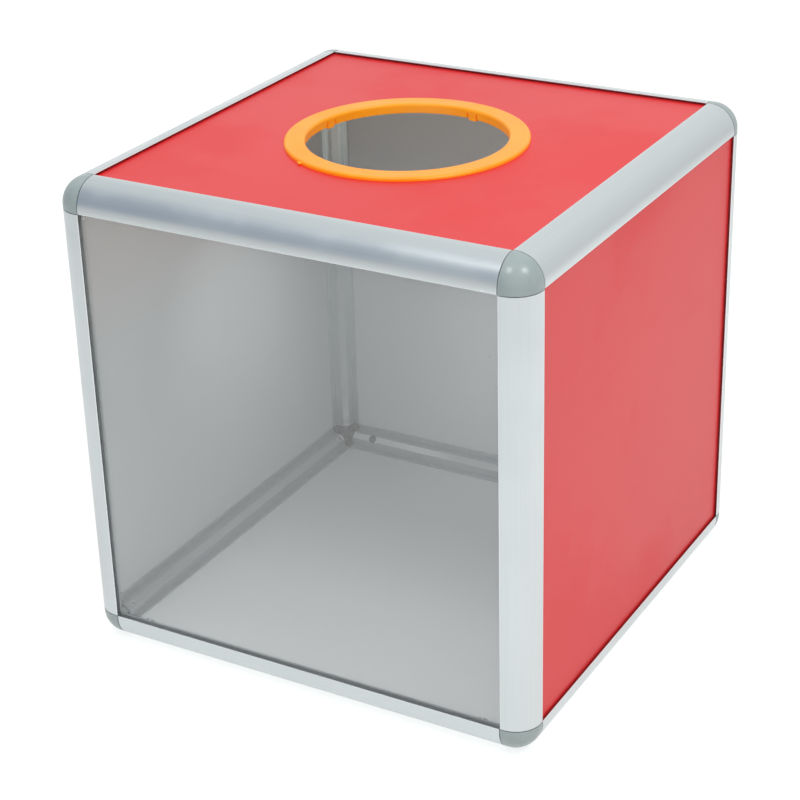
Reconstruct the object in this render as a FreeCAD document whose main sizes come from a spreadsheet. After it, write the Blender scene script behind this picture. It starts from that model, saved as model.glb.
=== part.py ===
import FreeCAD, Part
import itertools
import math
import os

import Sketcher
from FreeCAD import Rotation, Vector

# Raffle box: a cube of rounded aluminium edge rails joined by ball corners, with sheets in the
# rails' slots and a snap-in ring round the hand hole in the top.
# Origin at the centre of the base, +Z up, front (the clear sheet) towards -Y. Millimetres.

SIZES = {
    # whole box
    "box_side": 300.0,
    # rail section, measured from the two outer faces that meet at the edge
    "rail_reach": 18.0,
    "edge_flat": 2.0,
    "slot_depth": 3.8,
    "slot_width": 3.6,
    "outer_lip": 0.7,
    "lip_round": 0.3,
    "inner_lip": 1.2,
    "tube_chamfer": 3.4,
    "rail_wall": 1.2,
    "joint_gap": 0.4,
    # sheets
    "panel_thickness": 2.5,
    "window_thickness": 2.0,
    "window_seat_gap": 0.1,
    "panel_edge_gap": 0.3,
    # corner connectors
    "leg_length": 25.0,
    "leg_clearance": 0.15,
    "leg_wall": 2.0,
    "leg_floor": 3.0,
    # screws
    "screw_inset": 5.5,
    "cross_screw_inset": 16.0,
    "screw_radius": 1.45,
    "screw_length": 6.0,
    "screw_point": 1.2,
    "screw_clearance": 0.15,
    "pilot_clearance": 0.05,
    "head_radius": 2.7,
    "head_height": 1.0,
    "head_round": 0.7,
    "recess_length": 3.0,
    "recess_width": 0.8,
    "recess_depth": 0.7,
    # hand hole and its ring
    "hole_centre_x": -3.5,
    "hole_centre_y": 1.0,
    "hole_clearance": 0.3,
    "flange_radius": 72.5,
    "flange_width": 12.5,
    "flange_height": 2.2,
    "flange_round": 1.4,
    "bore_round": 1.3,
    "collar_step": 0.6,
    "collar_wall": 1.8,
    "collar_depth": 3.9,
    "tab_width": 5.6,
    "tab_drop": 1.2,
    "barb_reach": 1.6,
    "barb_edge": 0.6,
    "barb_gap": 0.3,
    "slit_width": 1.2,
    "slit_top": 0.5,
    "ring_turn": -11.4,
}
TAB_COUNT = 4
LEG_COUNT = 3
# A line along which X stays the same is vertical, and one along which Y does is horizontal
LEVEL = {"X": "Vertical", "Y": "Horizontal"}
# Turns the sketch plane that faces -Y until it faces +X and +Y alike
DIAGONAL_TURN = 135


class Size:
    """A size of the model: its value, and the expression over the sheet that gives it."""

    def __init__(self, value, text=None):
        self.value = float(value)
        self.text = text or repr(self.value)

    def _join(self, sign, other, result):
        return Size(result, "(%s %s %s)" % (self.text, sign, other.text))

    def __add__(self, other):
        other = as_size(other)
        return self._join("+", other, self.value + other.value)

    def __sub__(self, other):
        other = as_size(other)
        return self._join("-", other, self.value - other.value)

    def __mul__(self, other):
        other = as_size(other)
        return self._join("*", other, self.value * other.value)

    def __truediv__(self, other):
        other = as_size(other)
        return self._join("/", other, self.value / other.value)

    def __neg__(self):
        return ZERO - self

    def matches(self, other):
        return abs(self.value - other.value) < 1e-9


def as_size(value):
    return value if isinstance(value, Size) else Size(value)


doc = FreeCAD.newDocument("raffle_box")
sheet = doc.addObject("Spreadsheet::Sheet", "Sizes")
for row, (alias, value) in enumerate(SIZES.items(), start=1):
    sheet.set("A%d" % row, alias)
    sheet.set("B%d" % row, str(value))
    sheet.setAlias("B%d" % row, alias)
doc.recompute()
size = {alias: Size(value, "Sizes." + alias) for alias, value in SIZES.items()}

# Places that follow from the sizes, all measured inwards from the outer faces of the box
ZERO = Size(0)
HALF_SIDE = size["box_side"] / 2
REACH = size["rail_reach"]
EDGE_RADIUS = REACH - size["edge_flat"]
TUBE = REACH - size["slot_depth"]
SLOT_OUTER = size["outer_lip"]
SLOT_INNER = SLOT_OUTER + size["slot_width"]
LIP_INNER = SLOT_INNER + size["inner_lip"]
RAIL_START = REACH + size["joint_gap"]
SCREW_PLACE = RAIL_START + size["screw_inset"]
CROSS_SCREW_PLACE = RAIL_START + size["cross_screw_inset"]
SCREW_SEAT = TUBE - size["tube_chamfer"] / 2
PANEL_START = TUBE + size["panel_edge_gap"]
PANEL_DEPTH = SLOT_INNER - size["panel_thickness"]
LEG_INSET = size["rail_wall"] + size["leg_clearance"]
RING_BORE = size["flange_radius"] - size["flange_width"]
COLLAR_BORE = RING_BORE + size["collar_step"]
COLLAR_OUTER = COLLAR_BORE + size["collar_wall"]


# Drawing and feature helpers


def bind(feature, path, length):
    feature.setExpression(path, length.text)


def new_body(name):
    body = doc.addObject("PartDesign::Body", name)
    body.Label = name
    return body


def own_datum(body, role):
    return next(f for f in body.Origin.OriginFeatures if f.Role == role)


def new_sketch(body, name, role="XY_Plane", base=(ZERO, ZERO, ZERO), turn=Rotation()):
    """A sketch on one of the body's own planes, moved by base and turned, both in the plane's axes."""
    sketch = body.newObject("Sketcher::SketchObject", name)
    sketch.AttachmentSupport = [(own_datum(body, role), "")]
    sketch.MapMode = "FlatFace"
    offset = Vector(*[length.value for length in base])
    sketch.AttachmentOffset = FreeCAD.Placement(offset, turn)
    for axis, length in zip("xyz", base):
        bind(sketch, "AttachmentOffset.Base." + axis, length)
    return sketch


def lifted_sketch(body, name, height):
    return new_sketch(body, name, base=(ZERO, ZERO, height))


def pin(sketch, geometry, point, axis, length):
    """Dimensions one coordinate of a point from the sketch's origin."""
    if length.matches(ZERO):
        ruler = {"X": -2, "Y": -1}[axis]
        sketch.addConstraint(Sketcher.Constraint("PointOnObject", geometry, point, ruler))
        return
    constraint = Sketcher.Constraint("Distance" + axis, -1, 1, geometry, point, length.value)
    index = sketch.addConstraint(constraint)
    bind(sketch, "Constraints[%d]" % index, length)


def set_radius(sketch, geometry, radius):
    index = sketch.addConstraint(Sketcher.Constraint("Radius", geometry, radius.value))
    bind(sketch, "Constraints[%d]" % index, radius)


def add_edge(sketch, start, end, arc):
    """A line, or an arc given as (centre x, centre y, radius, anticlockwise). Returns the geometry
    and the numbers of its first and last points along the outline."""
    start, end = (Vector(x.value, y.value, 0) for x, y in (start, end))
    if arc is None:
        return sketch.addGeometry(Part.LineSegment(start, end), False), 1, 2
    x, y, radius, anticlockwise = arc
    centre = Vector(x.value, y.value, 0)
    ends = (start, end) if anticlockwise else (end, start)
    angles = [math.atan2(p.y - centre.y, p.x - centre.x) for p in ends]
    whole = Part.Circle(centre, Vector(0, 0, 1), radius.value)
    edge = sketch.addGeometry(Part.ArcOfCircle(whole, *angles), False)
    pin(sketch, edge, 3, "X", x)
    pin(sketch, edge, 3, "Y", y)
    set_radius(sketch, edge, radius)
    return (edge, 1, 2) if anticlockwise else (edge, 2, 1)


def axis_along_arc(corner, arc):
    """The coordinate that still moves a corner which an arc holds at its radius."""
    from_centre = [abs((place_now - centre).value) for place_now, centre in zip(corner, arc)]
    return "Y" if from_centre[0] > from_centre[1] else "X"


def outline(sketch, corners, arcs=None):
    """A closed outline through corners, each (x, y). arcs says which corners an arc starts from."""
    arcs = arcs or {}
    count = len(corners)
    edges = [
        add_edge(sketch, corners[i], corners[(i + 1) % count], arcs.get(i)) for i in range(count)
    ]
    for i in range(count):
        edge, _, last = edges[i]
        following, first, _ = edges[(i + 1) % count]
        sketch.addConstraint(Sketcher.Constraint("Coincident", edge, last, following, first))
    for i, corner in enumerate(corners):
        edge, first, _ = edges[i]
        before = (i - 1) % count
        free = ["X", "Y"]
        for arc in [arcs[k] for k in (i, before) if k in arcs][:1]:
            free = [axis_along_arc(corner, arc)]
        for axis, place_now, place_before in zip("XY", corner, corners[before]):
            if axis not in free:
                continue
            straight = i > 0 and before not in arcs and place_now.matches(place_before)
            if straight:
                sketch.addConstraint(Sketcher.Constraint(LEVEL[axis], edges[before][0]))
            else:
                pin(sketch, edge, first, axis, place_now)


def rectangle(sketch, low_x, low_y, high_x, high_y):
    outline(sketch, [(low_x, low_y), (high_x, low_y), (high_x, high_y), (low_x, high_y)])


def circle(sketch, x, y, radius):
    centre = Vector(x.value, y.value, 0)
    edge = sketch.addGeometry(Part.Circle(centre, Vector(0, 0, 1), radius.value), False)
    pin(sketch, edge, 3, "X", x)
    pin(sketch, edge, 3, "Y", y)
    set_radius(sketch, edge, radius)


def pad(body, name, sketch, length, side="One side", backwards=False):
    feature = body.newObject("PartDesign::Pad", name)
    feature.Profile = sketch
    feature.SideType = side
    feature.Reversed = backwards
    bind(feature, "Length", length)
    return feature


def pocket(body, name, sketch, length, forwards):
    """Cuts along the sketch's normal if forwards is true, and against it otherwise."""
    feature = body.newObject("PartDesign::Pocket", name)
    feature.Profile = sketch
    feature.Reversed = forwards
    bind(feature, "Length", length)
    return feature


def revolve(body, name, sketch, angle=Size(360), centred=False):
    feature = body.newObject("PartDesign::Revolution", name)
    feature.Profile = sketch
    feature.ReferenceAxis = (sketch, ["V_Axis"])
    feature.Midplane = centred
    bind(feature, "Angle", angle)
    return feature


def soften(body, name, kind, value_name, edges, amount):
    """A fillet or chamfer on the given edges of the body's last feature."""
    base = body.Tip
    feature = body.newObject("PartDesign::" + kind, name)
    feature.Base = (base, edges)
    bind(feature, value_name, amount)
    return feature


def edges_where(body, test):
    """Names of the last feature's edges that pass test."""
    edges = enumerate(body.Tip.Shape.Edges, start=1)
    return ["Edge%d" % number for number, edge in edges if test(edge)]


def touches(edge, point):
    return min((vertex.Point - point).Length for vertex in edge.Vertexes) < 1e-6


def is_circle(edge, radius, height):
    """True for a circle of that radius round the z axis at that height."""
    curve = edge.Curve
    if not isinstance(curve, Part.Circle):
        return False
    return abs(curve.Radius - radius.value) < 1e-6 and abs(curve.Center.z - height.value) < 1e-6


def polar(body, name, features, axis, count):
    feature = body.newObject("PartDesign::PolarPattern", name)
    feature.Originals = features
    feature.Axis = axis
    feature.Angle = 360
    feature.Occurrences = count
    body.Tip = feature
    return feature


def place(part, x, y, z, rotation=Rotation()):
    part.Placement = FreeCAD.Placement(Vector(x.value, y.value, z.value), rotation)
    for axis, length in zip("xyz", (x, y, z)):
        bind(part, "Placement.Base." + axis, length)


def direction(axis, sign):
    """The unit vector along a box axis, 0 to 2 for x to z."""
    return Vector(*[sign if k == axis else 0 for k in range(3)])


def side_place(axis, sign):
    """Where a box face lies along x, y or z, sign saying which of the two faces."""
    if axis == 2:
        return size["box_side"] if sign > 0 else ZERO
    return HALF_SIDE if sign > 0 else -HALF_SIDE


# Rails


def tube_outline(sketch, inset):
    """The rail tube's outline drawn inset from its outside: round at the edge, chamfered inside."""
    centre = EDGE_RADIUS
    radius = centre - inset
    side = TUBE - inset
    cut = TUBE - size["tube_chamfer"] - inset * (math.sqrt(2) - 1)
    rise = centre.value - side.value
    near = Size(centre.value - math.sqrt(radius.value**2 - rise**2))
    corners = [(near, side), (side, near), (side, cut), (cut, side)]
    outline(sketch, corners, {0: (centre, centre, radius, True)})


def rail_section(sketch):
    """Rounded outer edge, then on each side an outer lip, the panel's slot and an inner lip."""
    bend = EDGE_RADIUS
    lip_round = size["lip_round"]
    lip_end = REACH - lip_round
    flank = [(lip_end, ZERO), (REACH, lip_round), (REACH, SLOT_OUTER)]
    flank += [(TUBE, SLOT_OUTER), (TUBE, SLOT_INNER), (REACH, SLOT_INNER)]
    flank += [(REACH, LIP_INNER), (TUBE, LIP_INNER), (TUBE, TUBE - size["tube_chamfer"])]
    mirrored = [(y, x) for x, y in reversed(flank)]
    corners = [(ZERO, bend), (bend, ZERO)] + flank + mirrored
    arcs = {
        0: (bend, bend, bend, True),
        2: (lip_end, lip_round, lip_round, True),
        len(corners) - 2: (lip_round, lip_end, lip_round, True),
    }
    outline(sketch, corners, arcs)
    tube_outline(sketch, size["rail_wall"])


def diagonal_sketch(body, name, depth):
    """A sketch facing inwards along the section's diagonal, through the point (depth, depth)."""
    base = (depth, ZERO, -depth)
    return new_sketch(body, name, "XZ_Plane", base, Rotation(Vector(0, 1, 0), DIAGONAL_TURN))


def screw_place(along):
    """How far from the box's face a rail's screws sit. Those of left-to-right rails lie deeper."""
    return CROSS_SCREW_PLACE if along == 0 else SCREW_PLACE


def make_rail(name, along, signs):
    body = new_body(name)
    section = new_sketch(body, name + "_section")
    rail_section(section)
    length = size["box_side"] - RAIL_START * 2
    pad(body, name + "_extrusion", section, length, "Symmetric")
    holes = diagonal_sketch(body, name + "_screw_plan", SCREW_SEAT - size["rail_wall"] * 2)
    reach = HALF_SIDE - screw_place(along)
    for end in (-1, 1):
        circle(holes, ZERO, reach * end, size["screw_radius"] + size["screw_clearance"])
    pocket(body, name + "_screw_holes", holes, size["rail_wall"] * 4, True)
    across = [axis for axis in range(3) if axis != along]
    inward = [direction(axis, -sign) for axis, sign in zip(across, signs)]
    turn = Rotation(inward[0], inward[1], inward[0].cross(inward[1]), "XYZ")
    origin = [HALF_SIDE if axis == 2 else ZERO for axis in range(3)]
    for axis, sign in zip(across, signs):
        origin[axis] = side_place(axis, sign)
    place(body, *origin, turn)
    return body


SIDE_NAMES = (("left", "right"), ("front", "back"), ("bottom", "top"))


def side_name(axis, sign):
    return SIDE_NAMES[axis][sign > 0]


def make_rails():
    """Every rail, with the axis that it runs along."""
    rails = []
    for along in (2, 0, 1):
        across = [axis for axis in range(3) if axis != along]
        for signs in itertools.product((-1, 1), repeat=2):
            names = [side_name(axis, sign) for axis, sign in zip(across, signs)]
            ending = "post" if along == 2 else "rail"
            name = "_".join(list(reversed(names)) + [ending])
            rails.append((along, make_rail(name, along, signs)))
    return rails


# Corner connectors


def make_corner(signs):
    """A ball-shaped cap with a leg into each of the three rails that meet at the corner. Each leg
    has a pilot bore for either screw place, so one moulding serves all eight corners."""
    name = "_".join(side_name(axis, signs[axis]) for axis in (2, 1, 0)) + "_corner"
    body = new_body(name)

    block = new_sketch(body, name + "_block_plan")
    rectangle(block, ZERO, ZERO, REACH, REACH)
    pad(body, name + "_block", block, REACH)
    doc.recompute()
    at_origin = edges_where(body, lambda e: touches(e, Vector()))
    soften(body, name + "_ball", "Fillet", "Radius", at_origin, EDGE_RADIUS)

    hollow = lifted_sketch(body, name + "_inside_plan", TUBE)
    rectangle(hollow, LIP_INNER, LIP_INNER, REACH, REACH)
    hollow_cut = pocket(body, name + "_inside", hollow, REACH - TUBE, True)
    slot = lifted_sketch(body, name + "_slot_plan", SLOT_OUTER)
    rectangle(slot, TUBE, TUBE, REACH, REACH)
    slot_cut = pocket(body, name + "_slot", slot, SLOT_INNER - SLOT_OUTER, True)
    diagonal = new_sketch(body, name + "_diagonal", turn=Rotation(Vector(0, 0, 1), Vector(1, 1, 1)))
    axis = (diagonal, ["N_Axis"])
    polar(body, name + "_cap", [hollow_cut, slot_cut], axis, LEG_COUNT)
    doc.recompute()
    tip = Vector(TUBE.value, TUBE.value, TUBE.value)
    at_tip = edges_where(body, lambda e: touches(e, tip))
    soften(body, name + "_bevel", "Chamfer", "Size", at_tip, size["tube_chamfer"])

    leg = lifted_sketch(body, name + "_leg_plan", TUBE)
    tube_outline(leg, LEG_INSET)
    leg_pad = pad(body, name + "_leg", leg, REACH + size["leg_length"] - TUBE)
    bore = lifted_sketch(body, name + "_leg_bore_plan", REACH + size["leg_floor"])
    tube_outline(bore, LEG_INSET + size["leg_wall"])
    bore_cut = pocket(body, name + "_leg_bore", bore, size["leg_length"] - size["leg_floor"], True)
    depth = SCREW_SEAT - LEG_INSET - size["leg_wall"]
    pilot = diagonal_sketch(body, name + "_pilot_plan", depth)
    for along_leg in (SCREW_PLACE, CROSS_SCREW_PLACE):
        circle(pilot, ZERO, along_leg, size["screw_radius"] + size["pilot_clearance"])
    pilot_cut = pocket(body, name + "_pilot", pilot, (LEG_INSET + size["leg_wall"]) * 2, True)
    polar(body, name + "_legs", [leg_pad, bore_cut, pilot_cut], axis, LEG_COUNT)

    inward = [direction(axis, -sign) for axis, sign in enumerate(signs)]
    if inward[0].cross(inward[1]).dot(inward[2]) < 0:
        inward[0], inward[1] = inward[1], inward[0]
    origin = [side_place(axis, sign) for axis, sign in enumerate(signs)]
    place(body, *origin, Rotation(*inward, "XYZ"))
    return body


# Sheets


def make_panel(axis, sign, depth, thickness, name=None, hole=None):
    """A square sheet in the slots of four rails. depth is how far its outer face lies inside the
    box's."""
    name = name or side_name(axis, sign) + "_panel"
    body = new_body(name)
    plan = new_sketch(body, name + "_plan")
    reach = HALF_SIDE - PANEL_START
    rectangle(plan, -reach, -reach, reach, reach)
    if hole:
        circle(plan, *hole)
    pad(body, name + "_sheet", plan, thickness, backwards=True)
    origin = [ZERO, ZERO, HALF_SIDE]
    origin[axis] = side_place(axis, sign) - depth * sign
    place(body, *origin, Rotation(Vector(0, 0, 1), direction(axis, sign)))
    return body


def make_panels():
    """Five opaque sheets against the inner lips, and the clear one a little clear of them."""
    hole = (size["hole_centre_x"], size["hole_centre_y"], COLLAR_OUTER + size["hole_clearance"])
    opaque = size["panel_thickness"]
    clear = size["window_thickness"]
    window_depth = SLOT_INNER - size["window_seat_gap"] - clear
    return [
        make_panel(2, 1, PANEL_DEPTH, opaque, hole=hole),
        make_panel(2, -1, PANEL_DEPTH, opaque),
        make_panel(0, -1, PANEL_DEPTH, opaque),
        make_panel(0, 1, PANEL_DEPTH, opaque),
        make_panel(1, 1, PANEL_DEPTH, opaque),
        make_panel(1, -1, window_depth, clear, name="front_window"),
    ]


# Hand hole ring


def ring_profile(sketch):
    """Flange on the panel and collar through the hole, in radius and height above the panel."""
    rim = size["flange_radius"]
    top = size["flange_height"]
    rim_round = size["flange_round"]
    bore_round = size["bore_round"]
    corners = [
        (COLLAR_BORE, -size["collar_depth"]),
        (COLLAR_OUTER, -size["collar_depth"]),
        (COLLAR_OUTER, ZERO),
        (rim, ZERO),
        (rim, top - rim_round),
        (rim - rim_round, top),
        (RING_BORE + bore_round, top),
        (RING_BORE, top - bore_round),
        (RING_BORE, ZERO),
    ]
    arcs = {
        4: (rim - rim_round, top - rim_round, rim_round, True),
        6: (RING_BORE + bore_round, top - bore_round, bore_round, True),
    }
    outline(sketch, corners, arcs)


def tab_profile(sketch):
    """A spring tab: the collar's wall carried further down, with a barb under the panel."""
    bottom = -(size["collar_depth"] + size["tab_drop"])
    barb_top = -(size["panel_thickness"] + size["barb_gap"])
    barb = COLLAR_OUTER + size["barb_reach"]
    corners = [(COLLAR_BORE, bottom), (COLLAR_OUTER, bottom), (barb, barb_top - size["barb_edge"])]
    outline(sketch, corners + [(barb, barb_top), (COLLAR_BORE, barb_top)])


def make_ring():
    name = "hand_hole_ring"
    body = new_body(name)
    profile = new_sketch(body, name + "_profile", "XZ_Plane")
    ring_profile(profile)
    revolve(body, name + "_flange", profile)

    slits = lifted_sketch(body, name + "_slit_plan", -size["slit_top"])
    near = size["tab_width"] / 2
    far = near + size["slit_width"]
    beyond = size["collar_wall"]
    for low, high in ((near, far), (-far, -near)):
        rectangle(slits, COLLAR_BORE - beyond, low, COLLAR_OUTER + beyond, high)
    slit_cut = pocket(body, name + "_slits", slits, size["collar_depth"], False)

    tab = new_sketch(body, name + "_tab_profile", "XZ_Plane")
    tab_profile(tab)
    chord, radius = size["tab_width"], COLLAR_OUTER
    degrees = math.degrees(2 * math.asin(chord.value / radius.value / 2))
    angle = Size(degrees, "(2 * asin(%s / %s / 2))" % (chord.text, radius.text))
    tab_body = revolve(body, name + "_tab", tab, angle, centred=True)
    axis = (own_datum(body, "Z_Axis"), [""])
    polar(body, name + "_tabs", [slit_cut, tab_body], axis, TAB_COUNT)

    height = size["box_side"] - PANEL_DEPTH
    turn = Rotation(Vector(0, 0, 1), size["ring_turn"].value)
    place(body, size["hole_centre_x"], size["hole_centre_y"], height, turn)
    return body


# Screws


def make_screw():
    """A small pan-head screw with a cross recess. Its head rests on the plane z = 0."""
    name = "pan_head_screw"
    body = new_body(name)
    shank, length, point = size["screw_radius"], size["screw_length"], size["screw_point"]
    head, top = size["head_radius"], size["head_height"]
    profile = new_sketch(body, name + "_profile", "XZ_Plane")
    corners = [(ZERO, -length), (shank, point - length), (shank, ZERO)]
    outline(profile, corners + [(head, ZERO), (head, top), (ZERO, top)])
    revolve(body, name + "_turning", profile)
    doc.recompute()
    rim = edges_where(body, lambda e: is_circle(e, head, top))
    soften(body, name + "_dome", "Fillet", "Radius", rim, size["head_round"])
    cross = lifted_sketch(body, name + "_recess_plan", top)
    arm, half = size["recess_length"] / 2, size["recess_width"] / 2
    quarter = [(arm, -half), (arm, half), (half, half)]
    corners = []
    for _ in range(4):
        corners += quarter
        quarter = [(-y, x) for x, y in quarter]
    outline(cross, corners)
    pocket(body, name + "_recess", cross, size["recess_depth"], False)
    return body


def make_screw_groups(rails, screw):
    """One screw through the inner chamfer at each end of each rail, grouped by top and bottom."""
    groups = {"bottom_corner_screws": [], "top_corner_screws": []}
    seat = SCREW_SEAT.value
    facing = Rotation(Vector(0, 0, 1), Vector(1, 1, 0))
    for along, rail in rails:
        reach = (HALF_SIDE - screw_place(along)).value
        for end in (-1, 1):
            in_rail = FreeCAD.Placement(Vector(seat, seat, reach * end), facing)
            placement = rail.Placement.multiply(in_rail)
            high = placement.Base.z > HALF_SIDE.value
            group = groups["top_corner_screws" if high else "bottom_corner_screws"]
            link = doc.addObject("App::Link", rail.Label + "_screw")
            link.LinkedObject = screw
            link.LinkTransform = False
            link.Placement = placement
            group.append(link)
    compounds = []
    for name, links in groups.items():
        compound = doc.addObject("Part::Compound", name)
        compound.Label = name
        compound.Links = links
        compounds.append(compound)
    return compounds


rails = make_rails()
corners = [make_corner(signs) for signs in itertools.product((-1, 1), repeat=3)]
panels = make_panels()
ring = make_ring()
screws = make_screw_groups(rails, make_screw())
doc.recompute()

for item in doc.Objects:
    if "Invalid" in item.State or "Error" in item.State:
        raise RuntimeError("%s failed: %s" % (item.Label, item.State))
nodes = [rail for _, rail in rails] + corners + panels + [ring] + screws
for node in nodes:
    if node.Shape.isNull() or not node.Shape.isValid():
        raise RuntimeError("%s has no valid shape" % node.Label)

os.makedirs("parts", exist_ok=True)
for node in nodes:
    node.Shape.exportStep("parts/%s.step" % node.Label)
print("%d nodes written" % len(nodes))
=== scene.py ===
import math

import bmesh
import bpy
from mathutils import Matrix, Vector


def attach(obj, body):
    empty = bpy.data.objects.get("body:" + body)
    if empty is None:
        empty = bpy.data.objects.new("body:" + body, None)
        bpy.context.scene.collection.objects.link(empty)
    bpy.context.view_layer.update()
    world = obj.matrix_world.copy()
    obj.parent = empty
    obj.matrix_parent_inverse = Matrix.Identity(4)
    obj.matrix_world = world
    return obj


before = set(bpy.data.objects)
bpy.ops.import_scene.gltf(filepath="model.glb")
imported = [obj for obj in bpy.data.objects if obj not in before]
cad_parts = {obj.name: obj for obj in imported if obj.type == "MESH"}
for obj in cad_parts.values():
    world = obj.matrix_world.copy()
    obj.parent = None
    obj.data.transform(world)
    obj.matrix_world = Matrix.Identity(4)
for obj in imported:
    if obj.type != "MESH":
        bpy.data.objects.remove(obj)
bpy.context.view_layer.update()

# The box, in metres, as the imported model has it
HALF_SIDE = 0.150
BOX_HEIGHT = 0.300
RAIL_REACH = 0.018
RING_CENTRE = (-0.0035, 0.0010)
FLANGE_RADIUS = 0.0725
FLANGE_BOTTOM = 0.2982

# Depths below the box's nearest outer face
OUTER_SKIN = 0.001
SHEET_MIDDLE = 0.00305
SLOT_INNER = 0.0043
BEND_DEPTH = 0.01085

# How far in from the next face a rail's inner bend begins, and how far from the box's middle
# the screws of its left-to-right rails stand at most
BEND_REACH = 0.0136
CROSS_SCREW_LIMIT = 0.125

# How wide a mask's border is where it follows an edge of a piece
EDGE_BLUR = 0.0001

# Camera
CAMERA_PLACE = (0.56692, -1.00262, 0.69129)
CAMERA_AZIMUTH = math.radians(30.045)
CAMERA_ELEVATION = math.radians(26.006)
CAMERA_ROLL = math.radians(-1.664)
CAMERA_LENS = 92.838
SENSOR_WIDTH = 36.0

# Studio
STUDIO_CENTRE = Vector((0.0, 0.0, 0.25))
LAMP_DISTANCE = 1.6
LAMP_RADIUS = 0.25
RIGHT_SOFTBOX_WAY, RIGHT_SOFTBOX_POWER = (0.655, -0.097, 0.750), 6.4
FRONT_SOFTBOX_WAY, FRONT_SOFTBOX_POWER = (-0.033, -0.550, 0.834), 4.6
ROOM_LIGHT_LOW = 0.44
ROOM_LIGHT_HIGH = 0.90
FLOOR_SIZE = 30.0
FLOOR_DROP = 0.0004
FLOOR_GLOW = 0.82
FLOOR_FADE = (0.6, 1.6)

ALONG_X = (1.0, 0.0, 0.0)
ALONG_Y = (0.0, 1.0, 0.0)
ALONG_Z = (0.0, 0.0, 1.0)

WHITE = (1.0, 1.0, 1.0, 1.0)


def linear(red, green, blue):
    """A colour picked as 0 to 255 screen values, as the light values that a shader takes."""

    def channel(value):
        share = value / 255
        return share / 12.92 if share <= 0.04045 else ((share + 0.055) / 1.055) ** 2.4

    return (channel(red), channel(green), channel(blue), 1.0)


# Node helpers


class Wiring:
    """Adds nodes to one node tree. An input is given as a value, or as the socket that feeds it."""

    def __init__(self, tree):
        self.tree = tree

    def node(self, kind, settings=None, **inputs):
        made = self.tree.nodes.new(kind)
        for name, value in (settings or {}).items():
            setattr(made, name, value)
        for name, value in inputs.items():
            self.feed(made.inputs[name.replace("_", " ")], value)
        return made

    def feed(self, socket, value):
        if isinstance(value, bpy.types.NodeSocket):
            self.tree.links.new(value, socket)
        else:
            socket.default_value = value

    def feed_in_order(self, made, *values):
        for socket, value in zip(made.inputs, values):
            self.feed(socket, value)
        return made.outputs

    def group(self, tree, **inputs):
        made = self.tree.nodes.new("ShaderNodeGroup")
        made.node_tree = tree
        for name, value in inputs.items():
            self.feed(made.inputs[name.replace("_", " ")], value)
        return made.outputs

    def math(self, operation, *values):
        return self.feed_in_order(self.node("ShaderNodeMath", {"operation": operation}), *values)[0]

    def times(self, first, second):
        return self.math("MULTIPLY", first, second)

    def vector_math(self, operation, *values):
        made = self.node("ShaderNodeVectorMath", {"operation": operation})
        return self.feed_in_order(made, *values)

    def ramp(self, value, low, high, out_low=0.0, out_high=1.0):
        """value eased from out_low at low to out_high at high."""
        made = self.node(
            "ShaderNodeMapRange",
            {"interpolation_type": "SMOOTHSTEP"},
            Value=value,
            From_Min=low,
            From_Max=high,
            To_Min=out_low,
            To_Max=out_high,
        )
        return made.outputs["Result"]

    def spread(self, mask, least, most):
        """A number that goes from least where mask is 0 to most where it is 1."""
        return self.ramp(mask, 0.0, 1.0, least, most)

    def mix(self, share, first, second):
        made = self.node("ShaderNodeMix", {"data_type": "RGBA"}, Factor=share)
        self.feed(made.inputs[6], first)
        self.feed(made.inputs[7], second)
        return made.outputs[2]

    def lay(self, colour, over, mask, strength):
        """The tone over, with colour laid on it at strength where mask is 1."""
        return self.mix(self.times(mask, strength), over, colour)

    def mix_number(self, share, first, second):
        made = self.node("ShaderNodeMix", {"data_type": "FLOAT"}, Factor=share)
        self.feed(made.inputs[2], first)
        self.feed(made.inputs[3], second)
        return made.outputs[0]

    def mix_shader(self, share, first, second):
        return self.feed_in_order(self.node("ShaderNodeMixShader"), share, first, second)[0]

    def bump(self, height, strength, distance):
        made = self.node("ShaderNodeBump", Strength=strength, Distance=distance, Height=height)
        return made.outputs[0]

    def place(self):
        return self.node("ShaderNodeTexCoord").outputs["Object"]

    def place_along(self, axis):
        return self.node("ShaderNodeSeparateXYZ", Vector=self.place()).outputs[axis]

    def noise(self, vector, scale, detail=3.0, roughness=0.5):
        made = self.node(
            "ShaderNodeTexNoise", Vector=vector, Scale=scale, Detail=detail, Roughness=roughness
        )
        return made.outputs["Fac"]

    def depths(self):
        """How far a point lies inside the box's three nearest outer faces, least first."""
        box_middle = (0.0, 0.0, BOX_HEIGHT / 2)
        centred = self.vector_math("SUBTRACT", self.place(), box_middle)["Vector"]
        unsigned = self.vector_math("ABSOLUTE", centred)["Vector"]
        axes = self.node("ShaderNodeSeparateXYZ", Vector=unsigned).outputs
        x, y, z = (self.math("SUBTRACT", HALF_SIDE, axes[k]) for k in range(3))
        wider, narrower = self.math("MAXIMUM", x, y), self.math("MINIMUM", x, y)
        least = self.math("MINIMUM", narrower, z)
        second = self.math("MAXIMUM", narrower, self.math("MINIMUM", wider, z))
        return least, second, self.math("MAXIMUM", wider, z)

    def under_the_round(self, *depths):
        """1 on the frame's inner faces, 0 on its rounded outside: two depths for a rail, three for
        a corner."""
        from_core = self.node("ShaderNodeCombineXYZ")
        for socket, depth in zip(from_core.inputs, depths):
            self.feed(socket, self.math("SUBTRACT", RAIL_REACH, depth))
        radius = self.vector_math("LENGTH", from_core.outputs[0])["Value"]
        return self.math("LESS_THAN", radius, RAIL_REACH - OUTER_SKIN)


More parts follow.
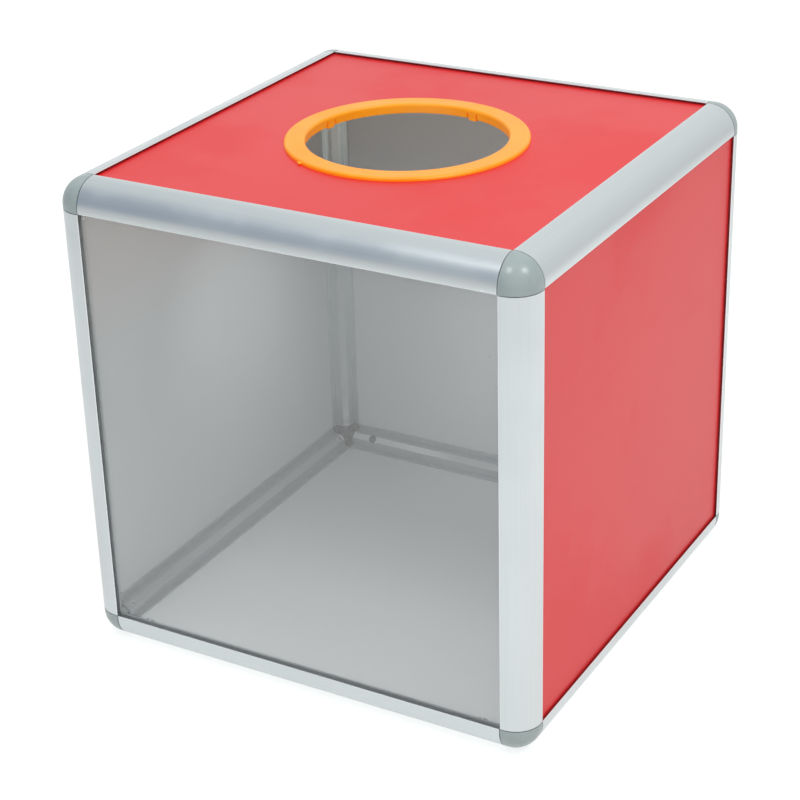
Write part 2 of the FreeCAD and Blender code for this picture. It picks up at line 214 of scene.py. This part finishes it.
def new_group(name, inputs, outputs):
    """A node group with named sockets. Returns its wiring and the sockets of its two ends."""
    tree = bpy.data.node_groups.new(name, "ShaderNodeTree")
    for label, kind, value in inputs:
        socket = tree.interface.new_socket(label, in_out="INPUT", socket_type=kind)
        socket.default_value = value
    for label in outputs:
        tree.interface.new_socket(label, in_out="OUTPUT", socket_type="NodeSocketFloat")
    wiring = Wiring(tree)
    return wiring, wiring.node("NodeGroupInput").outputs, wiring.node("NodeGroupOutput").inputs


def new_material(name):
    material = bpy.data.materials.new(name)
    material.use_nodes = True
    material.node_tree.nodes.clear()
    wiring = Wiring(material.node_tree)
    return material, wiring, wiring.node("ShaderNodeOutputMaterial").inputs["Surface"]


# Effects that several finishes share


def make_specks():
    """Sparse specks of dust and dirt. Mask is 1 on a speck."""
    wires, given, out = new_group(
        "specks",
        [("Spacing", "NodeSocketFloat", 0.02), ("Size", "NodeSocketFloat", 0.0006)],
        ["Mask"],
    )
    ragged_grain, ragged_reach = 900.0, (0.0005, 0.0005, 0.0005)
    share_left_clean = 0.55
    per_metre = wires.math("DIVIDE", 1.0, given["Spacing"])
    wobble = wires.node("ShaderNodeTexNoise", Vector=wires.place(), Scale=ragged_grain, Detail=1.0)
    ragged = wires.vector_math(
        "MULTIPLY_ADD", wobble.outputs["Color"], ragged_reach, wires.place()
    )["Vector"]
    cells = wires.node("ShaderNodeTexVoronoi", Vector=ragged, Scale=per_metre)
    chance = wires.node("ShaderNodeSeparateColor", Color=cells.outputs["Color"]).outputs
    radius = wires.times(wires.times(given["Size"], per_metre), chance["Red"])
    near = wires.math("LESS_THAN", cells.outputs["Distance"], radius)
    kept = wires.math("GREATER_THAN", chance["Green"], share_left_clean)
    wires.feed(out["Mask"], wires.times(near, kept))
    return wires.tree


def make_handling():
    """Faint smears and broad blotches left by handling, from 0 to 1."""
    wires, given, out = new_group(
        "handling", [("Scale", "NodeSocketFloat", 12.0)], ["Smear", "Blotch"]
    )
    smear_band, blotch_band, blotch_share = (0.38, 0.68), (0.3, 0.7), 0.35
    smear = wires.noise(wires.place(), given["Scale"], detail=4.0, roughness=0.6)
    wires.feed(out["Smear"], wires.ramp(smear, *smear_band))
    wide = wires.times(given["Scale"], blotch_share)
    blotch = wires.noise(wires.place(), wide, detail=2.0)
    wires.feed(out["Blotch"], wires.ramp(blotch, *blotch_band))
    return wires.tree


def make_extrusion_lines():
    """Fine die lines along an extruded rail, with the odd deeper one, and short cross scratches."""
    wires, given, out = new_group(
        "extrusion_lines",
        [("Across", "NodeSocketVector", (1.0, 1.0, 1.0))],
        ["Lines", "Height", "Scratches"],
    )
    line_grain, deep_line_grain = 2600.0, 650.0
    scratch_grain, scratched_place_grain = 160.0, 18.0
    scratch_turn, scratch_stretch = (0.5, 0.9, 0.4), (1.0, 0.06, 1.0)
    deep_band, thin_band, scratched_band = (0.66, 0.8), (0.74, 0.78), (0.58, 0.7)
    place = wires.place()
    drawn_out = wires.vector_math("MULTIPLY", place, given["Across"])["Vector"]
    fine = wires.noise(drawn_out, line_grain, detail=2.0, roughness=0.6)
    deep = wires.ramp(wires.noise(drawn_out, deep_line_grain, detail=1.0), *deep_band)
    wires.feed(out["Lines"], fine)
    wires.feed(out["Height"], wires.math("SUBTRACT", fine, deep))

    slanted = wires.node(
        "ShaderNodeMapping", Vector=place, Rotation=scratch_turn, Scale=scratch_stretch
    ).outputs[0]
    thin = wires.ramp(wires.noise(slanted, scratch_grain, detail=1.0), *thin_band)
    scratched = wires.ramp(wires.noise(place, scratched_place_grain, detail=1.0), *scratched_band)
    wires.feed(out["Scratches"], wires.times(thin, scratched))
    return wires.tree


def make_lip_edge():
    """Where a rail's lip ends: 1 along its last part, which is polished and gets a painted
    highlight.
    """
    wires, given, out = new_group("lip_edge", [("Width", "NodeSocketFloat", 0.0008)], ["Edge"])
    _, second, _ = wires.depths()
    start = wires.math("SUBTRACT", RAIL_REACH, given["Width"])
    wires.feed(out["Edge"], wires.ramp(second, start, RAIL_REACH))
    return wires.tree


def behind_the_sheets(wires, first, second):
    """1 on a rail's faces inside the box, and 0 on its outer round and on its lips."""
    past_slot = wires.ramp(first, SLOT_INNER - EDGE_BLUR, SLOT_INNER)
    return wires.times(past_slot, wires.under_the_round(first, second))


def bend_line(wires, first, second, width):
    """1 along the bend between a rail's inner bevel and its flanks."""
    off_bend = wires.math("ABSOLUTE", wires.math("SUBTRACT", first, BEND_DEPTH))
    near_bend = wires.ramp(off_bend, width, EDGE_BLUR)
    return wires.times(near_bend, wires.ramp(second, BEND_REACH - EDGE_BLUR, BEND_REACH))


def back_left_bevel(wires, first, low):
    """1 on the left of the back bottom rail's bevel, where light from the hand hole falls."""
    bevel_band = (BEND_DEPTH, BEND_DEPTH + 0.0003)
    back_band, left_band = (0.125, 0.13), (-0.04, -0.08)
    bevel = wires.times(low, wires.ramp(first, *bevel_band))
    at_back = wires.ramp(wires.place_along("Y"), *back_band)
    at_left = wires.ramp(wires.place_along("X"), *left_band)
    return wires.times(bevel, wires.times(at_back, at_left))


def make_inside_tone_and_light():
    """Inside faces of the rails: darker low down, painted warm light from the hand hole high up,
    painted highlights along their bends there, and painted light on the back bottom rail's lit
    bevel."""
    wires, given, out = new_group(
        "inside_tone_and_painted_light",
        [("Width", "NodeSocketFloat", 0.0004)],
        ["Inside", "Low_down", "Hole_light", "Bend_highlight", "Bevel_light"],
    )
    low_down_top, low_down_full = 0.05, 0.02
    hole_light_start, hole_light_full = 0.18, 0.24
    flank_depth, bevel_depth, flank_share = 0.007, 0.0105, 0.35
    first, second, _ = wires.depths()
    inside = behind_the_sheets(wires, first, second)
    height = wires.place_along("Z")
    low = wires.ramp(height, low_down_top, low_down_full)
    high = wires.ramp(height, hole_light_start, hole_light_full)
    inner_share = wires.ramp(first, flank_depth, bevel_depth, flank_share, 1.0)
    # Painted light from the hand hole on the upper inner faces
    hole_light = wires.times(wires.times(inside, high), inner_share)
    wires.feed(out["Inside"], inside)
    wires.feed(out["Low_down"], wires.times(inside, low))
    wires.feed(out["Hole_light"], hole_light)
    # Painted highlights along the bends, high up where hole light falls
    wires.feed(out["Bend_highlight"], wires.times(bend_line(wires, first, second, given["Width"]), hole_light))
    # Painted light on the left of the back bottom rail's bevel
    wires.feed(out["Bevel_light"], back_left_bevel(wires, first, low))
    return wires.tree


def make_slot_shade():
    """Painted shade in the mouth of a rail's slot, where the sheet goes in: 1 where it is deepest.
    """
    wires, given, out = new_group(
        "slot_shade",
        [("Start", "NodeSocketFloat", 0.0003), ("Full", "NodeSocketFloat", 0.0006)],
        ["Grime"],
    )
    mouth_band = (RAIL_REACH - 0.0008, RAIL_REACH - 0.0002)
    inner_wall_band = (SLOT_INNER, SLOT_INNER - 0.0002)
    first, second, _ = wires.depths()
    mouth = wires.ramp(second, *mouth_band)
    below_lip = wires.ramp(first, given["Start"], given["Full"])
    off_inner_wall = wires.ramp(first, *inner_wall_band)
    wires.feed(out["Grime"], wires.times(wires.times(mouth, below_lip), off_inner_wall))
    return wires.tree


def make_joint_shade():
    """Painted shade along the joint of a corner cap and a rail: 1 at the cap's very edge, in
    places.
    """
    wires, given, out = new_group("joint_shade", [("Width", "NodeSocketFloat", 0.0004)], ["Grime"])
    patch_grain, patch_band, cleanest = 90.0, (0.4, 0.6), 0.1
    _, _, third = wires.depths()
    line = wires.ramp(third, wires.math("SUBTRACT", RAIL_REACH, given["Width"]), RAIL_REACH)
    patches = wires.noise(wires.place(), patch_grain, detail=2.0)
    broken = wires.ramp(patches, *patch_band, cleanest, 1.0)
    wires.feed(out["Grime"], wires.times(line, broken))
    return wires.tree


def make_moulded_skin():
    """The fine pebble of a plastic moulding, and its faint clouds."""
    wires, given, out = new_group(
        "moulded_skin", [("Grain", "NodeSocketFloat", 1800.0)], ["Height", "Cloud"]
    )
    wave_grain, wave_height = 140.0, 2.0
    cloud_grain, cloud_band = 45.0, (0.35, 0.65)
    place = wires.place()
    fine = wires.noise(place, given["Grain"], detail=2.0)
    waves = wires.times(wires.noise(place, wave_grain, detail=2.0), wave_height)
    wires.feed(out["Height"], wires.math("ADD", fine, waves))
    wires.feed(out["Cloud"], wires.ramp(wires.noise(place, cloud_grain), *cloud_band))
    return wires.tree


SPECKS = make_specks()
HANDLING = make_handling()
EXTRUSION_LINES = make_extrusion_lines()
LIP_EDGE = make_lip_edge()
INSIDE_TONE_AND_LIGHT = make_inside_tone_and_light()
SLOT_SHADE = make_slot_shade()
JOINT_SHADE = make_joint_shade()
MOULDED_SKIN = make_moulded_skin()


# Finishes


def worn_and_lit_metal(wires, lines, inside_light_and_tone, lip):
    """The rails' colour: drawn metal, darker low down inside, painted light from the hand hole,
    painted highlights on bends and lip, scratches, dirt specks, and painted shade in the slot
    mouths.
    """
    # Darker low down inside the box; painted warm light from the hand hole high up
    low_down_tone, hole_light = linear(193, 199, 202), linear(251, 246, 238)
    # Painted light on the back bottom rail's bevel, and painted highlights along the inner bends
    lit_bevel, bend_highlight = linear(232, 236, 238), linear(255, 255, 253)
    # A painted highlight on the lip's edge; the scratches are real
    lip_highlight, scratched = linear(246, 247, 247), linear(250, 250, 250)
    # Dirt specks, and painted shade in the slot mouths
    dirt, slot_shade_tone = linear(110, 108, 106), linear(58, 56, 56)
    specks = wires.group(SPECKS, Spacing=0.016, Size=0.0004)["Mask"]
    seam_shade = wires.group(SLOT_SHADE, Start=0.0003, Full=0.0005)["Grime"]
    tone = wires.mix(lines["Lines"], linear(208, 214, 215), linear(219, 225, 226))
    tone = wires.mix(inside_light_and_tone["Low_down"], tone, low_down_tone)
    tone = wires.mix(inside_light_and_tone["Hole_light"], tone, hole_light)
    tone = wires.mix(inside_light_and_tone["Bevel_light"], tone, lit_bevel)
    tone = wires.mix(inside_light_and_tone["Bend_highlight"], tone, bend_highlight)
    tone = wires.lay(lip_highlight, tone, lip, strength=0.8)
    tone = wires.lay(scratched, tone, lines["Scratches"], strength=0.6)
    tone = wires.lay(dirt, tone, specks, strength=0.7)
    return wires.lay(slot_shade_tone, tone, seam_shade, strength=0.85)


def make_rail_aluminium(name, along):
    """Satin anodised aluminium, with its die lines running along the rail."""
    material, wires, surface = new_material(name)
    line_stretch, lip_polish = 0.004, 0.08
    across = tuple(line_stretch if part else 1.0 for part in along)
    lines = wires.group(EXTRUSION_LINES, Across=across)
    # Inside the box: a darker tone low down, and painted light and highlights from the hand hole
    inside_light_and_tone = wires.group(INSIDE_TONE_AND_LIGHT, Width=0.0005)
    lip_ends = wires.group(LIP_EDGE, Width=0.0007)["Edge"]
    # The lip's edge: polished, and brightened in colour as a painted highlight
    lip = wires.times(lip_ends, wires.math("SUBTRACT", 1.0, inside_light_and_tone["Inside"]))
    smear = wires.group(HANDLING, Scale=22.0)["Smear"]
    rough = wires.math(
        "SUBTRACT", wires.spread(smear, least=0.30, most=0.38), wires.times(lip, lip_polish)
    )
    shader = wires.node(
        "ShaderNodeBsdfPrincipled",
        Base_Color=worn_and_lit_metal(wires, lines, inside_light_and_tone, lip),
        Metallic=0.75,
        Roughness=rough,
        Normal=wires.bump(lines["Height"], strength=0.12, distance=0.0002),
    )
    wires.feed(surface, shader.outputs[0])
    return material


def make_corner_plastic():
    """Grey moulded plastic with a soft shine, and painted shade on its inner faces, most at the
    back.
    """
    material, wires, surface = new_material("corner_grey_plastic")
    # Painted shade on the inner faces, deeper towards the back
    inner_shade_front, inner_shade_back = linear(158, 170, 170), linear(68, 76, 82)
    front_to_back = (-0.1, 0.1)
    dust, joint_shade_tone = linear(190, 194, 192), linear(52, 56, 56)
    skin = wires.group(MOULDED_SKIN, Grain=1500.0)
    smear = wires.group(HANDLING, Scale=40.0)["Smear"]
    specks = wires.group(SPECKS, Spacing=0.009, Size=0.0004)["Mask"]
    # Painted shade along the joints with the rails
    seam_shade = wires.group(JOINT_SHADE, Width=0.00035)["Grime"]
    inner_faces = wires.under_the_round(*wires.depths())
    backwards = wires.ramp(wires.place_along("Y"), *front_to_back)
    inner_shade = wires.mix(backwards, inner_shade_front, inner_shade_back)

    tone = wires.mix(skin["Cloud"], linear(153, 166, 166), linear(161, 174, 173))
    tone = wires.lay(dust, tone, specks, strength=0.5)
    tone = wires.mix(inner_faces, tone, inner_shade)
    tone = wires.lay(joint_shade_tone, tone, seam_shade, strength=0.6)
    shader = wires.node(
        "ShaderNodeBsdfPrincipled",
        Base_Color=tone,
        Roughness=wires.spread(smear, least=0.24, most=0.28),
        IOR=1.5,
        Normal=wires.bump(skin["Height"], strength=0.1, distance=0.0003),
    )
    wires.feed(surface, shader.outputs[0])
    return material


def red_skin(wires, blotch, specks):
    red = wires.mix(blotch, linear(222, 31, 35), linear(226, 37, 41))
    return wires.lay(linear(160, 30, 36), red, specks, strength=0.5)


def grey_skin(wires, blotch, specks):
    """The sheets' light grey inside, with a painted warm tint of light towards the top."""
    cool_height, warm_height = 0.17, 0.25
    grey = wires.mix(blotch, linear(220, 225, 227), linear(225, 229, 231))
    # A painted warm tint of light towards the top
    warm_light = wires.ramp(wires.place_along("Z"), cool_height, warm_height)
    grey = wires.mix(warm_light, grey, linear(224, 219, 215))
    return wires.lay(linear(120, 118, 114), grey, specks, strength=0.6)


def make_skinned_sheet():
    """The opaque sheets: a red skin outside and a light grey one inside."""
    material, wires, surface = new_material("red_skinned_sheet")
    peel_grain = 700.0
    depth, _, _ = wires.depths()
    outside = wires.math("LESS_THAN", depth, SHEET_MIDDLE)
    handling = wires.group(HANDLING, Scale=9.0)
    specks = wires.group(SPECKS, Spacing=0.021, Size=0.0007)["Mask"]
    grey = grey_skin(wires, handling["Blotch"], specks)
    red = red_skin(wires, handling["Blotch"], specks)
    grey_rough = wires.spread(handling["Smear"], least=0.46, most=0.54)
    red_rough = wires.spread(handling["Smear"], least=0.36, most=0.44)
    peel = wires.noise(wires.place(), peel_grain, detail=2.0)
    shader = wires.node(
        "ShaderNodeBsdfPrincipled",
        Base_Color=wires.mix(outside, grey, red),
        Roughness=wires.mix_number(outside, grey_rough, red_rough),
        IOR=1.5,
        Normal=wires.bump(peel, strength=0.03, distance=0.0001),
    )
    wires.feed(surface, shader.outputs[0])
    return material


def make_clear_sheet():
    """Clear plastic sheet. Light that falls through it goes straight on."""
    material, wires, surface = new_material("clear_plastic_sheet")
    smear = wires.group(HANDLING, Scale=16.0)["Smear"]
    shader = wires.node(
        "ShaderNodeBsdfPrincipled",
        Base_Color=linear(254, 254, 254),
        Roughness=wires.spread(smear, least=0.004, most=0.02),
        IOR=1.49,
        Transmission_Weight=0.94,
    )
    through = wires.node("ShaderNodeBsdfTransparent", Color=linear(252, 253, 253))
    path = wires.node("ShaderNodeLightPath").outputs
    lit = wires.math("MAXIMUM", path["Is Shadow Ray"], path["Is Diffuse Ray"])
    wires.feed(surface, wires.mix_shader(lit, shader.outputs[0], through.outputs[0]))
    return material


def make_ring_plastic():
    """Orange moulded plastic. Its faint red glow is painted light that lifts its shaded collar."""
    material, wires, surface = new_material("ring_orange_plastic")
    skin = wires.group(MOULDED_SKIN, Grain=1200.0)
    smear = wires.group(HANDLING, Scale=30.0)["Smear"]
    specks = wires.group(SPECKS, Spacing=0.014, Size=0.0005)["Mask"]
    tone = wires.mix(skin["Cloud"], linear(216, 157, 8), linear(220, 163, 12))
    tone = wires.lay(linear(190, 110, 30), tone, specks, strength=0.5)
    shader = wires.node(
        "ShaderNodeBsdfPrincipled",
        Base_Color=tone,
        Roughness=wires.spread(smear, least=0.34, most=0.42),
        IOR=1.49,
        # The red glow is painted light
        Emission_Color=(1.0, 0.09, 0.0, 1.0),
        Emission_Strength=0.36,
        Normal=wires.bump(skin["Height"], strength=0.08, distance=0.0003),
    )
    wires.feed(surface, shader.outputs[0])
    return material


def make_screw_steel():
    """Zinc-plated steel, a little dull. The back left-to-right rails' screws get painted shade."""
    material, wires, surface = new_material("screw_zinc_steel")
    smear = wires.group(HANDLING, Scale=500.0)["Smear"]
    off_middle = wires.math("ABSOLUTE", wires.place_along("X"))
    cross_screw = wires.math("LESS_THAN", off_middle, CROSS_SCREW_LIMIT)
    at_back = wires.math("GREATER_THAN", wires.place_along("Y"), 0.0)
    tone = wires.mix(smear, linear(198, 202, 203), linear(214, 217, 217))
    # Painted shade on the back left-to-right rails' screws
    tone = wires.mix(wires.times(cross_screw, at_back), tone, linear(112, 114, 117))
    shader = wires.node(
        "ShaderNodeBsdfPrincipled",
        Base_Color=tone,
        Metallic=1.0,
        Roughness=wires.spread(smear, least=0.24, most=0.4),
    )
    wires.feed(surface, shader.outputs[0])
    return material


def dress(material, *names):
    for name in names:
        for material_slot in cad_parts[name].material_slots:
            material_slot.material = material


def dress_frame():
    posts = [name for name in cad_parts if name.endswith("_post")]
    rails = [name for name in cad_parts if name.endswith("_rail")]
    side_to_side = [name for name in rails if "front" in name or "back" in name]
    front_to_back = [name for name in rails if name not in side_to_side]
    dress(make_rail_aluminium("satin_aluminium_upright", ALONG_Z), *posts)
    dress(make_rail_aluminium("satin_aluminium_side_to_side", ALONG_X), *side_to_side)
    dress(make_rail_aluminium("satin_aluminium_front_to_back", ALONG_Y), *front_to_back)
    corners = [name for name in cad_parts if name.endswith("_corner")]
    dress(make_corner_plastic(), *corners)
    panels = [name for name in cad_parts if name.endswith("_panel")]
    dress(make_skinned_sheet(), *panels)
    dress(make_clear_sheet(), "front_window")
    dress(make_screw_steel(), "top_corner_screws", "bottom_corner_screws")


# Pieces made here


def finish_piece(name, mesh_maker, material, body):
    """The object of a finished bmesh, in place, riding on its body."""
    mesh = bpy.data.meshes.new(name)
    mesh_maker.to_mesh(mesh)
    mesh_maker.free()
    mesh.materials.append(material)
    piece = bpy.data.objects.new(name, mesh)
    bpy.context.scene.collection.objects.link(piece)
    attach(piece, body)
    return piece


def make_gate_stub(material):
    """The trimmed stub of the moulding gate on the rim of the hand hole's ring."""
    length, width, height = 0.0030, 0.0020, 0.0010
    rounding, outwards, lift = 0.0003, width * 0.3, 0.0003
    angle = math.radians(242.1)
    stub = bmesh.new()
    bmesh.ops.create_cube(stub, size=1.0)
    bmesh.ops.scale(stub, vec=(width, length, height), verts=stub.verts)
    bmesh.ops.bevel(
        stub,
        geom=stub.edges[:],
        offset=rounding,
        segments=3,
        profile=0.5,
        affect="EDGES",
        material=-1,
    )
    seat = Vector((FLANGE_RADIUS + outwards, 0.0, FLANGE_BOTTOM + height * 0.5 + lift))
    bmesh.ops.translate(stub, vec=seat, verts=stub.verts)
    bmesh.ops.rotate(stub, matrix=Matrix.Rotation(angle, 3, "Z"), verts=stub.verts)
    bmesh.ops.translate(stub, vec=(*RING_CENTRE, 0.0), verts=stub.verts)
    bmesh.ops.recalc_face_normals(stub, faces=stub.faces)
    for face in stub.faces:
        face.smooth = True
    return finish_piece("ring_gate_stub", stub, material, "ring")


# Studio


def make_floor():
    """A pale floor, flat and just below the box."""
    plan = bmesh.new()
    bmesh.ops.create_grid(plan, x_segments=1, y_segments=1, size=FLOOR_SIZE / 2)
    bmesh.ops.translate(plan, vec=(0.0, 0.0, -FLOOR_DROP), verts=plan.verts)
    mesh = bpy.data.meshes.new("studio_floor")
    plan.to_mesh(mesh)
    plan.free()
    mesh.materials.append(make_pale_floor())
    floor = bpy.data.objects.new("studio_floor", mesh)
    bpy.context.scene.collection.objects.link(floor)


def make_pale_floor():
    """The floor's finish. What the camera sees is lifted to white and keeps the box's shadow."""
    material, wires, surface = new_material("pale_floor")
    shadow_keeper, glow_colour = (0.30, 0.30, 0.30, 1.0), (0.975, 1.0, 0.995, 1.0)
    away = wires.vector_math("LENGTH", wires.place())["Value"]
    pale = wires.mix(
        wires.ramp(away, *FLOOR_FADE), linear(241, 241, 241), linear(205, 205, 205)
    )
    lit = wires.node("ShaderNodeBsdfDiffuse", Color=pale).outputs[0]
    shown = wires.node("ShaderNodeBsdfDiffuse", Color=shadow_keeper).outputs[0]
    mirrored = wires.node("ShaderNodeLightPath").outputs["Is Glossy Ray"]
    strength = wires.mix_number(mirrored, FLOOR_GLOW, mirrored_floor(wires, away))
    glow = wires.node("ShaderNodeEmission", Color=glow_colour, Strength=strength)
    lifted = wires.feed_in_order(wires.node("ShaderNodeAddShader"), shown, glow.outputs[0])[0]
    wires.feed(surface, wires.mix_shader(seen_directly(wires), lit, lifted))
    return material


def mirrored_floor(wires, away):
    """How brightly metal mirrors the floor: less beside the box, far away and to the left."""
    beside_box, far_away, to_the_left = 0.76, 0.55, 0.84
    near_band, left_band = (0.15, 0.45), (-0.04, -0.30)
    near = wires.ramp(away, *near_band, beside_box, FLOOR_GLOW)
    far = wires.ramp(away, *FLOOR_FADE, 1.0, far_away)
    left = wires.ramp(wires.place_along("X"), *left_band, 1.0, to_the_left)
    return wires.times(wires.times(near, far), left)


def seen_directly(wires):
    """1 for a ray that the camera sends, also by way of metal or of the clear sheet."""
    path = wires.node("ShaderNodeLightPath").outputs
    mirrored = wires.math("MAXIMUM", path["Is Camera Ray"], path["Is Glossy Ray"])
    return wires.math("MAXIMUM", mirrored, path["Is Transmission Ray"])


def turned_to(wires, way, aim):
    """1 where the room's direction way is the direction aim, and less away from it."""
    return wires.vector_math("DOT_PRODUCT", way, Vector(aim).normalized())["Value"]


def left_side(wires, axes):
    """1 towards the room's left, little of it at the back."""
    left_band, back_band, back_share = (-0.20, -0.68), (0.75, 0.45), 0.2
    off_back = wires.ramp(axes["Y"], *back_band, back_share, 1.0)
    return wires.times(wires.ramp(axes["X"], *left_band), off_back)


def back_panel_glow(wires, way, axes):
    """1 towards the bright panel that stands low behind the box, on the left."""
    aim, aim_band, low_band = (-0.50, 0.86, 0.10), (0.93, 0.985), (0.32, 0.12)
    low_down = wires.ramp(axes["Z"], *low_band)
    return wires.times(wires.ramp(turned_to(wires, way, aim), *aim_band), low_down)


def open_end_shade(wires, way, axes):
    """1 towards the room's open end, in front on the left, and less of it further forward."""
    aim, aim_band = (-0.75, -0.60, 0.28), (0.55, 0.98)
    forward_band, forward_share = (-0.47, -0.55), 0.74
    off_front = wires.ramp(axes["X"], *forward_band, forward_share, 1.0)
    return wires.times(wires.ramp(turned_to(wires, way, aim), *aim_band), off_front)


def room_shine(wires, way, axes):
    """What metal and shine mirror of the room: bright at the back, darker to the left and right,
    and darkest at the room's open end in front on the left."""
    right_band = (0.15, 0.45)
    left_wall, right_wall = linear(205, 211, 214), linear(220, 224, 226)
    bright_panel, open_end = (1.25, 1.25, 1.25, 1.0), linear(112, 131, 158)

    shine = wires.mix(left_side(wires, axes), linear(231, 235, 236), left_wall)
    shine = wires.mix(wires.ramp(axes["X"], *right_band), shine, right_wall)
    shine = wires.mix(back_panel_glow(wires, way, axes), shine, bright_panel)
    return wires.mix(open_end_shade(wires, way, axes), shine, open_end)


def make_room():
    """White all round, apart from what only metal and shine show of the room."""
    world = bpy.data.worlds.new("studio_room")
    bpy.context.scene.world = world
    world.use_nodes = True
    world.node_tree.nodes.clear()
    wires = Wiring(world.node_tree)
    way = wires.node("ShaderNodeTexCoord").outputs["Generated"]
    axes = wires.node("ShaderNodeSeparateXYZ", Vector=way).outputs
    mirrored = wires.node("ShaderNodeLightPath").outputs["Is Glossy Ray"]
    colour = wires.mix(mirrored, WHITE, room_shine(wires, way, axes))
    horizon, overhead = 0.0, 0.9
    room_light = wires.ramp(axes["Z"], horizon, overhead, ROOM_LIGHT_LOW, ROOM_LIGHT_HIGH)
    strength = wires.mix_number(seen_directly(wires), room_light, 1.0)
    background = wires.node("ShaderNodeBackground", Color=colour, Strength=strength)
    wires.node("ShaderNodeOutputWorld", Surface=background.outputs[0])


def make_softbox(name, towards, power):
    """A round softbox that shines on the box from the direction towards."""
    lamp = bpy.data.lights.new(name, "AREA")
    lamp.shape = "DISK"
    lamp.size = LAMP_RADIUS * 2
    lamp.energy = power
    softbox = bpy.data.objects.new(name, lamp)
    softbox.location = STUDIO_CENTRE + Vector(towards).normalized() * LAMP_DISTANCE
    softbox.rotation_euler = Vector(towards).to_track_quat("Z", "Y").to_euler()
    softbox.visible_camera = False
    bpy.context.scene.collection.objects.link(softbox)


def make_camera():
    azimuth, elevation = CAMERA_AZIMUTH, CAMERA_ELEVATION
    level = math.cos(elevation)
    back = Vector((math.sin(azimuth) * level, -math.cos(azimuth) * level, math.sin(elevation)))
    right = (-back).cross(Vector(ALONG_Z)).normalized()
    right = Matrix.Rotation(-CAMERA_ROLL, 3, -back) @ right
    up = back.cross(right)
    camera = bpy.data.cameras.new("camera")
    camera.lens = CAMERA_LENS
    camera.sensor_width = SENSOR_WIDTH
    viewer = bpy.data.objects.new("camera", camera)
    turn = Matrix((right, up, back)).transposed().to_4x4()
    viewer.matrix_world = Matrix.Translation(CAMERA_PLACE) @ turn
    bpy.context.scene.collection.objects.link(viewer)
    bpy.context.scene.camera = viewer


dress_frame()
ring_plastic = make_ring_plastic()
dress(ring_plastic, "hand_hole_ring")
make_gate_stub(ring_plastic)
make_floor()
make_room()
make_softbox("right_softbox", RIGHT_SOFTBOX_WAY, RIGHT_SOFTBOX_POWER)
make_softbox("front_softbox", FRONT_SOFTBOX_WAY, FRONT_SOFTBOX_POWER)
make_camera()
bpy.context.scene.view_settings.view_transform = "Standard"
